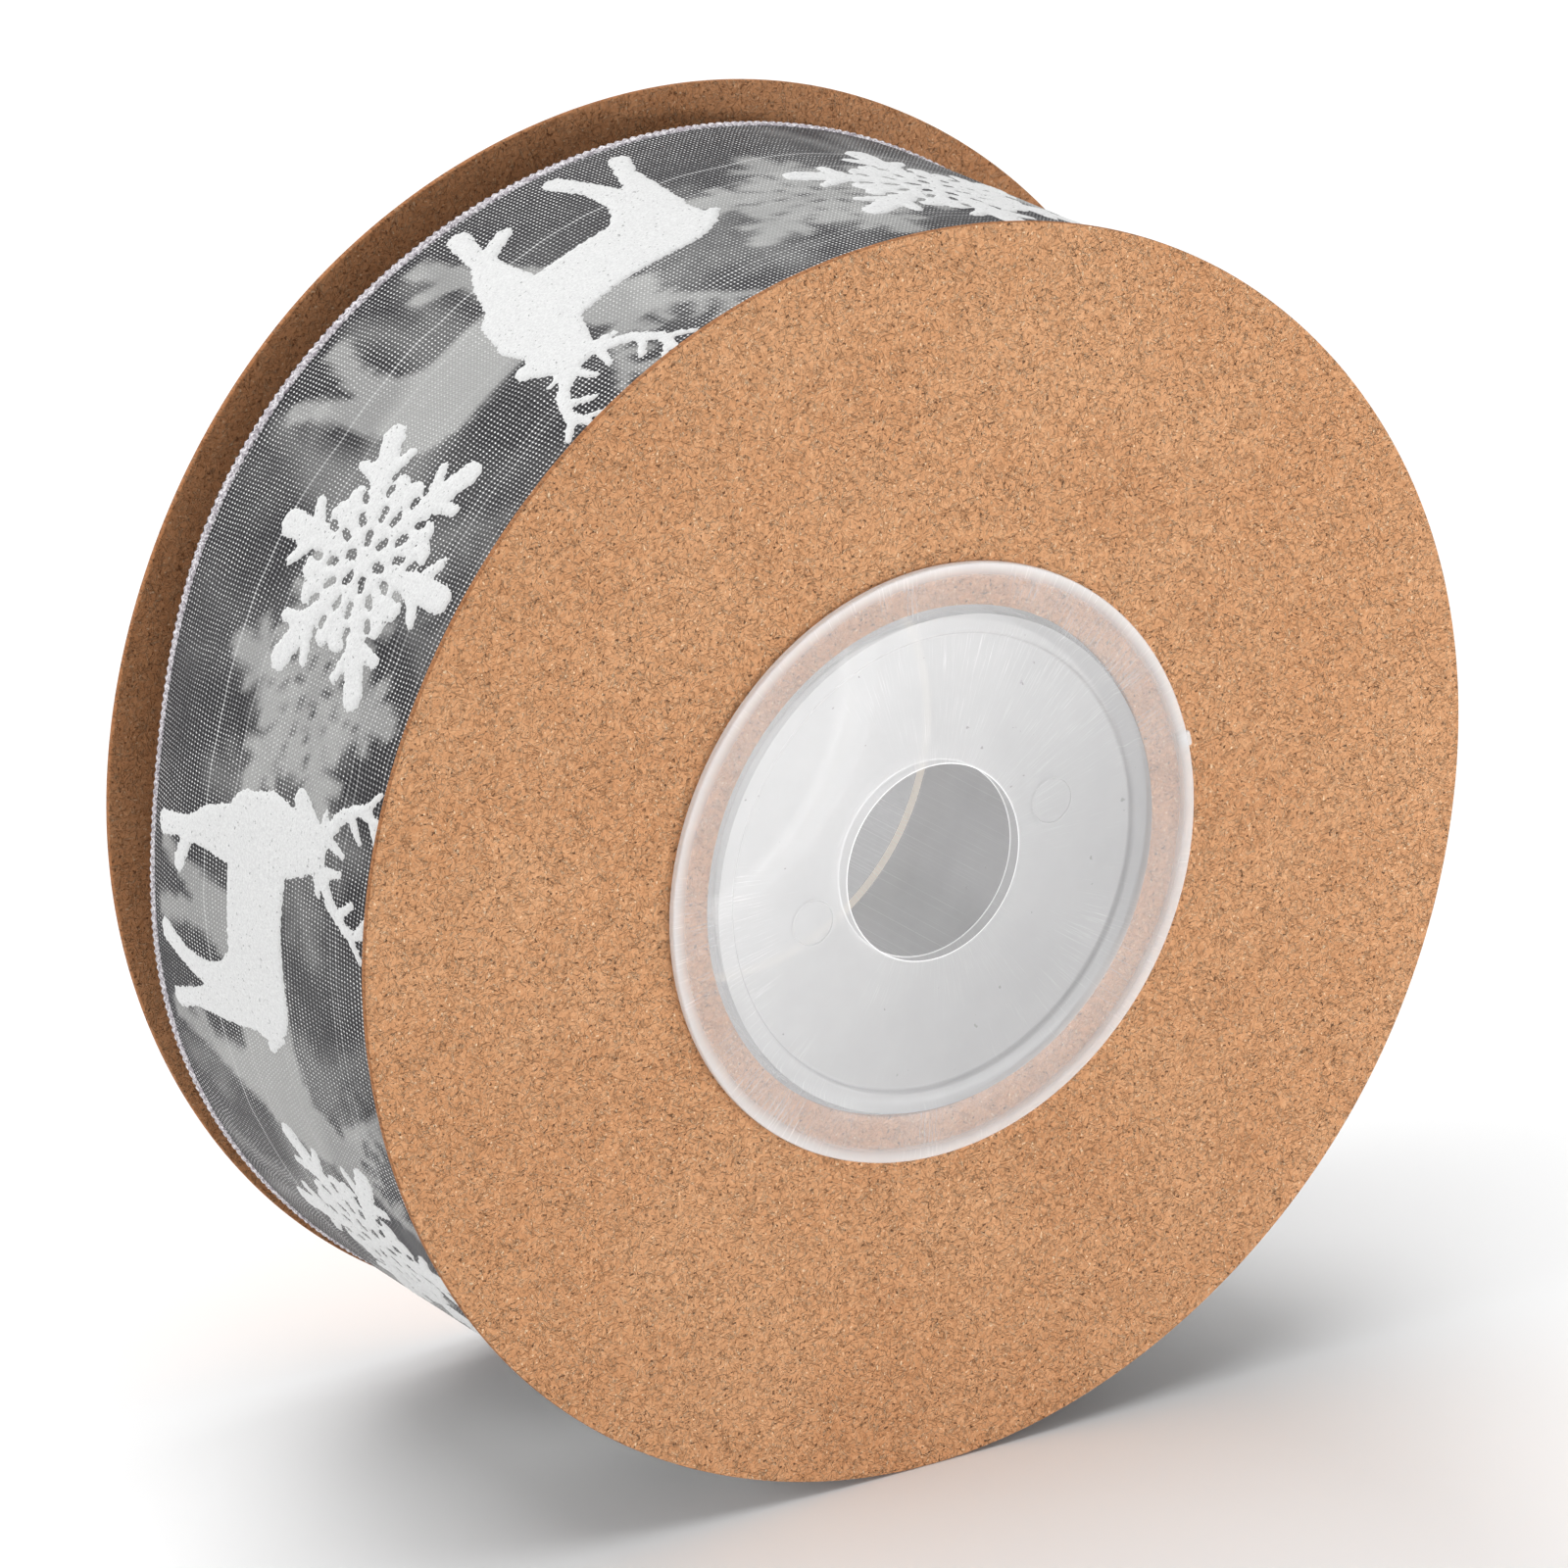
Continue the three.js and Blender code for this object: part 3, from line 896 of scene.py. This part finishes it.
def selvage(name, station, half_width):
    count = round(TURN_LENGTH / BEAD_PITCH) * STEPS_PER_BEAD
    along = np.linspace(RIBBON_START, RIBBON_END, count + 1)
    swell = 0.8 + 0.2 * np.cos(2 * math.pi * np.arange(count + 1) / STEPS_PER_BEAD)
    sides = 2 * math.pi * np.arange(SELVAGE_SIDES) / SELVAGE_SIDES
    across = station + half_width * np.outer(swell, np.cos(sides))
    height = SELVAGE_HALF_HEIGHT * np.outer(swell, np.sin(sides))
    points = wound(np.repeat(along[:, None], SELVAGE_SIDES, 1), across, height).reshape(-1, 3)
    ring = np.arange(SELVAGE_SIDES)
    following = np.roll(ring, -1)
    faces = [(row * SELVAGE_SIDES + a, row * SELVAGE_SIDES + b, (row + 1) * SELVAGE_SIDES + b,
              (row + 1) * SELVAGE_SIDES + a) for row in range(count) for a, b in zip(ring, following)]
    faces += [tuple(ring[::-1]), tuple(ring + count * SELVAGE_SIDES)]
    mesh = bpy.data.meshes.new(name)
    mesh.from_pydata(points.tolist(), [], [[int(n) for n in face] for face in faces])
    cord = bpy.data.objects.new(name, mesh)
    bpy.context.scene.collection.objects.link(cord)
    make_active(cord)
    bpy.ops.object.mode_set(mode="EDIT")
    bpy.ops.mesh.select_all(action="SELECT")
    bpy.ops.mesh.normals_make_consistent(inside=False)
    bpy.ops.object.mode_set(mode="OBJECT")
    return finish_piece(cord, name, "hub", "sheer_ribbon", selvage_material, smooth_angle=70)


selvages = [
    selvage("selvage_front", FRONT_EDGE + 0.15 * MM, FRONT_HALF_WIDTH),
    selvage("selvage_back", BACK_EDGE - 0.4 * MM, BACK_HALF_WIDTH),
]

# %% [markdown]
# ## Raised flock
# Each shape is cut out of a fine grid along the line where the distance is zero. Cells that the line
# crosses are clipped, so the outline is smooth. The top rises quickly from the edge to the
# height of the flock, and a flat underside closes it.

# %% Flock material
def flock(name):
    recipe = Recipe(name)
    place = recipe.millimetres()
    grain = recipe.noise(place, 7.0, detail=3, roughness=0.7)
    speck = recipe.steps(recipe.noise(place, 4.4, detail=2), 0.66, 0.71)
    colour = recipe.blend(recipe.steps(grain, 0.3, 0.7), (0.66, 0.66, 0.66), (0.80, 0.805, 0.80))
    colour = recipe.blend(recipe.math("MULTIPLY", speck, 0.7), colour, (0.22, 0.22, 0.22))
    return recipe.shade(
        Base_Color=colour, Roughness=0.95, Specular_IOR_Level=0.1, Sheen_Weight=0.2,
        Normal=recipe.bump(grain, 0.05 * MM, 0.8),
    )


flock_material = flock("white flock")

# %% [markdown]
# A cell inside the line is kept whole. A cell that the line crosses gets new corners where it
# crosses. The top and the underside share the corners on the line. Every other corner of the
# underside is sunk a little below the cloth's face, so that the shape stands in the cloth.

# %% Cut the shapes out and raise them
FLOCK_HEIGHT = 0.16 * MM
FLOCK_GRID = 0.17 * MM
FLOCK_SOLE = -0.05 * MM
EDGE_RISE = 0.12          # millimetres from the edge to most of the flock's height
UNEVEN = 0.12             # share of the height that the flock's top wanders


def clip_cells(distance):
    """Polygons of the grid cells where distance < 0. A corner is a key: one grid point, or two."""
    inside = distance < 0
    polygons = []
    for i in range(distance.shape[0] - 1):
        for j in range(distance.shape[1] - 1):
            ring = [(i, j), (i + 1, j), (i + 1, j + 1), (i, j + 1)]
            if not any(inside[c] for c in ring):
                continue
            polygon = []
            for corner, following in zip(ring, ring[1:] + ring[:1]):
                if inside[corner]:
                    polygon.append((corner,))
                if inside[corner] != inside[following]:
                    polygon.append(tuple(sorted((corner, following))))
            polygons.append(polygon)
    return polygons


def raised_shape(name, start, end):
    """The print between two distances along the ribbon, as one raised piece."""
    columns = np.arange(start, end, FLOCK_GRID)
    rows = np.arange(FRONT_EDGE + 0.2 * MM, BACK_EDGE - 0.6 * MM, FLOCK_GRID)
    along, across = np.meshgrid(columns, rows, indexing="ij")
    distance = print_distance(along, across)
    distance[[0, -1], :] = 1
    distance[:, [0, -1]] = 1
    polygons = clip_cells(distance)
    keys = sorted({corner for polygon in polygons for corner in polygon})
    number = {key: n for n, key in enumerate(keys)}
    flat, depth = [], []
    for key in keys:
        if len(key) == 1:
            flat.append((along[key[0]], across[key[0]]))
            depth.append(-distance[key[0]])
        else:
            first, second = distance[key[0]], distance[key[1]]
            part = first / (first - second)
            flat.append((along[key[0]] * (1 - part) + along[key[1]] * part,
                         across[key[0]] * (1 - part) + across[key[1]] * part))
            depth.append(0.0)
    flat, depth = np.array(flat), np.array(depth)
    x, y = flat[:, 0] / MM, flat[:, 1] / MM
    rise = FLOCK_HEIGHT * (1 - np.exp(-depth / EDGE_RISE))
    rise *= 1 + UNEVEN * np.sin(x * 11 + 2 * np.sin(y * 7)) * np.sin(y * 13)
    top = wound(flat[:, 0], flat[:, 1], rise)
    sole = wound(flat[:, 0], flat[:, 1], FLOCK_SOLE)
    inner = np.flatnonzero(depth > 0)
    under = {n: n for n in range(len(keys))}
    under.update({int(n): len(keys) + k for k, n in enumerate(inner)})
    faces = [[number[c] for c in polygon] for polygon in polygons]
    soles = [[under[n] for n in reversed(face)] for face in faces]
    mesh = bpy.data.meshes.new(name)
    mesh.from_pydata(np.concatenate([top, sole[inner]]).tolist(), [], faces + soles)
    mesh.update()
    piece = bpy.data.objects.new(name, mesh)
    bpy.context.scene.collection.objects.link(piece)
    return finish_piece(piece, name, "hub", "sheer_ribbon", flock_material, smooth_angle=70)


PRINT_MARGIN = 0.2 * MM
SHORTEST_PRINT = 3 * MM
for half in range(-2, math.ceil(TURN_LENGTH / (PITCH / 2)) + 1):
    middle = FIRST_FLAKE + half * PITCH / 2
    start = max(middle - PITCH / 4 - PRINT_MARGIN, RIBBON_START)
    end = min(middle + PITCH / 4 + PRINT_MARGIN, RIBBON_END)
    if end - start > SHORTEST_PRINT:
        kind = "snowflake" if half % 2 == 0 else "reindeer"
        raised_shape(f"print_{kind}_{half + 3}", start, end)

# %% [markdown]
# The selvages and the flock go with the outer wrap.

# %% [markdown]
# ## Clear tape
# A strip of clear tape holds the ribbon's free end down, and another starts the winding on the
# barrel. Tape is nearly invisible: a faint grey film with a glossy face, small bubbles and a
# slightly milky cut edge.

# %% Tape material and strips
def clear_tape(name):
    recipe = Recipe(name)
    place = recipe.millimetres()
    bubbles = recipe.steps(recipe.noise(place, 1.1, detail=3), 0.55, 0.7)
    dust = recipe.noise(place, 5.0, detail=2)
    return recipe.shade(
        Base_Color=recipe.blend(dust, (0.72, 0.73, 0.74), (0.86, 0.87, 0.88)),
        Alpha=recipe.math("MULTIPLY_ADD", bubbles, 0.14, 0.10), Roughness=0.12,
        Normal=recipe.bump(bubbles, 0.02 * MM, 0.4),
    )


tape_material = clear_tape("clear tape")
TAPE_THICKNESS = 0.05 * MM
TAPE_LIFT = 0.1 * MM
STEP_DOWN = math.radians(2.5)


def tape_strip(name, node, angles, low_y, high_y, radius_at):
    """A curved strip between two stations, over a list of angles, on a radius given by a function."""
    clear_selection()
    bpy.ops.mesh.primitive_grid_add(x_subdivisions=len(angles) - 1, y_subdivisions=12, size=1)
    strip = bpy.context.object
    flat = np.empty(len(strip.data.vertices) * 3)
    strip.data.vertices.foreach_get("co", flat)
    flat = flat.reshape(-1, 3) + 0.5
    angle = angles[0] + flat[:, 0] * (angles[-1] - angles[0])
    radius = radius_at(angle)
    place_points(strip, np.stack([AXLE_X + radius * np.cos(angle), low_y + flat[:, 1] * (high_y - low_y),
                                  AXLE_Z + radius * np.sin(angle)], -1))
    apply_modifier(strip, "SOLIDIFY", thickness=TAPE_THICKNESS, offset=-1)
    finish_piece(strip, name, "hub", "clear_tape", tape_material, smooth_angle=60)
    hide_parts(node)


def over_the_end(angle):
    """The tape's radius as it comes down from the free end to the wrap below."""
    share = np.clip((angle - END_ANGLE) / STEP_DOWN + 1, 0, 1)
    upper = RIBBON_RADIUS - LAYER * (angle - END_ANGLE) / (2 * math.pi)
    return (upper - LAYER) * (1 - share) + upper * share + TAPE_LIFT


def on_the_barrel(angle):
    return np.full(len(angle), BARREL_RADIUS + 0.2 * MM)


def tape_angles(middle, half_span, count):
    return np.linspace(middle - half_span, middle + half_span, count)


end_low, end_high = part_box("end_tape")
core_low, core_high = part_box("core_tape")
tape_strip("clear_end_tape", "end_tape", tape_angles(END_ANGLE, math.radians(22), 89),
           end_low.y, end_high.y, over_the_end)
tape_strip("clear_core_tape", "core_tape", tape_angles(math.radians(150), math.radians(25), 49),
           core_low.y, core_high.y, on_the_barrel)

# %% [markdown]
# ## The floor and the light
# A pale floor, a pale sky and soft lights give the even light of a product picture. The front disc
# is lit mostly by a low strip light, no taller than the spool. That light can't reach over the front
# disc, so the inside of the back disc stays in shade. A weak light stands behind the spool. The
# lights themselves are hidden from the camera.

# %% Floor, lights and sky
clear_selection()
bpy.ops.mesh.primitive_plane_add(size=6, location=(0, 0, 0))
floor = bpy.context.object
floor.name = "floor"
floor_recipe = Recipe("pale floor")
floor_grain = floor_recipe.noise(floor_recipe.millimetres(), 0.02, detail=2)
floor.data.materials.append(floor_recipe.shade(
    Base_Color=floor_recipe.blend(floor_grain, (0.93, 0.93, 0.93), (0.95, 0.95, 0.95)), Roughness=0.9,
))


def soft_light(name, location, towards, power, size, height=None):
    data = bpy.data.lights.new(name, "AREA")
    data.energy = power
    data.shape = "RECTANGLE"
    data.size = size
    data.size_y = height or size
    lamp = bpy.data.objects.new(name, data)
    lamp.location = location
    lamp.rotation_mode = "QUATERNION"
    lamp.rotation_quaternion = (Vector(location) - Vector(towards)).to_track_quat("Z", "Y")
    lamp.visible_camera = False
    bpy.context.scene.collection.objects.link(lamp)


soft_light("overhead light", (-0.15, 0.0, 1.2), aim, 8.0, 1.0)
soft_light("left light", (-1.15, 0.1, 0.4), aim, 4.0, 0.6)
soft_light("front light", (0.5, -1.05, 0.1), aim, 0.8, 0.3)
soft_light("low front light", (0.19, -0.41, 0.036), (0.0, 0.0, 0.036), 1.14, 0.5, height=0.07)
soft_light("back light", (-0.25, 0.8, 0.12), aim, 1.2, 0.3)
soft_light("background light", (0.2, 0.9, 0.9), (0.1, 0.35, 0.0), 7.0, 0.7)

sky = bpy.data.worlds.new("studio sky")
sky.use_nodes = True
sky.node_tree.nodes["Background"].inputs["Color"].default_value = (1, 1, 1, 1)
sky.node_tree.nodes["Background"].inputs["Strength"].default_value = 0.3
bpy.context.scene.world = sky
bpy.context.scene.view_settings.view_transform = "Standard"
